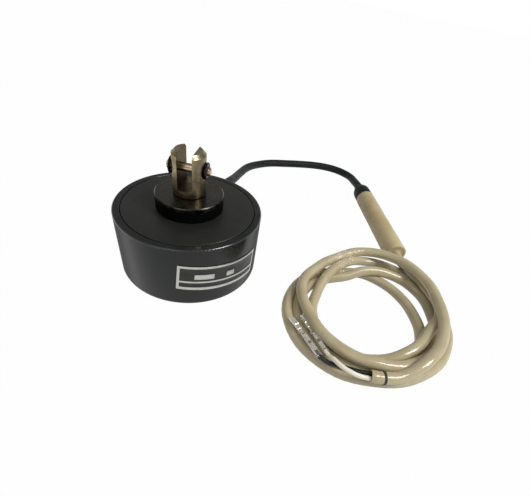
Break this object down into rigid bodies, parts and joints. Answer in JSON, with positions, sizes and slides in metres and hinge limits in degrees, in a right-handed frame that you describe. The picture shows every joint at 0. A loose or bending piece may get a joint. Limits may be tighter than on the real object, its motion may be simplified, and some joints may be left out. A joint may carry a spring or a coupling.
{
  "type": "solenoid",
  "caption": "Round pull-type pot solenoid with a plunger carrying a stop flange and a forked head with a cross pin, and a spliced lead with a coiled two-core cord and crimped ends.",
  "frame": {"origin": "centre of the case's base, on the surface that it stands on", "axes": "+Z along the plunger's axis, out of the case; X along the pin of the forked head"},
  "size_m": [0.2255, 0.2775, 0.0779],
  "materials": {
    "case_paint": "glossy dark grey paint",
    "plate_paint": "satin dark grey paint",
    "flange_steel": "dark plated steel",
    "nickel": "turned, nickel plated",
    "pin_steel": "ground steel",
    "ring_steel": "black phosphated spring steel",
    "bare_steel": "machined steel",
    "brass": "drawn tube",
    "copper": "enamelled copper wire",
    "bobbin_plastic": "moulded nylon",
    "tape": "polyester tape",
    "black_rubber": "matt rubber",
    "lead_rubber": "black rubber sheath",
    "beige_sleeve": "soft PVC sleeve",
    "beige_sheath": "glossy PVC sheath",
    "band_black": "dark marker band",
    "wire_black": "PVC insulation",
    "wire_white": "PVC insulation",
    "tinned": "tinned brass",
    "clear_cover": "clear PVC"
  },
  "bodies": {
    "housing": {"case": "case_paint", "front_plate": "plate_paint", "bobbin": "bobbin_plastic", "winding": "copper", "winding_tape": "tape", "guide_tube": "brass", "fixed_core": "bare_steel", "core_screw": "bare_steel", "cushion_ring": "black_rubber", "lead_grommet": "black_rubber", "lead_cable": "lead_rubber", "splice_boot": "lead_rubber", "splice_sleeve": "beige_sleeve", "cord_entry": "beige_sheath", "cable_coil": "beige_sheath", "cord_tail": "beige_sheath", "marker_band": "band_black", "wire_black": "wire_black", "wire_white": "wire_white", "terminal_black": "tinned", "terminal_white": "tinned", "terminal_cover_black": "clear_cover", "terminal_cover_white": "clear_cover"},
    "armature": {"plunger": "bare_steel", "stop_flange": "flange_steel", "clevis": "nickel"},
    "cross_pin": {"clevis_pin": "pin_steel", "retaining_ring_left": "ring_steel", "retaining_ring_right": "ring_steel"}
  },
  "joints": [
    {"name": "plunger_slide", "type": "slide", "parent": "housing", "child": "armature", "axis": [0, 0, 1], "range_m": [0, 0.01]},
    {"name": "pin_turn", "type": "hinge", "parent": "armature", "child": "cross_pin", "pos_m": [0, 0, 0.0674], "axis": [1, 0, 0], "continuous": true}
  ]
}
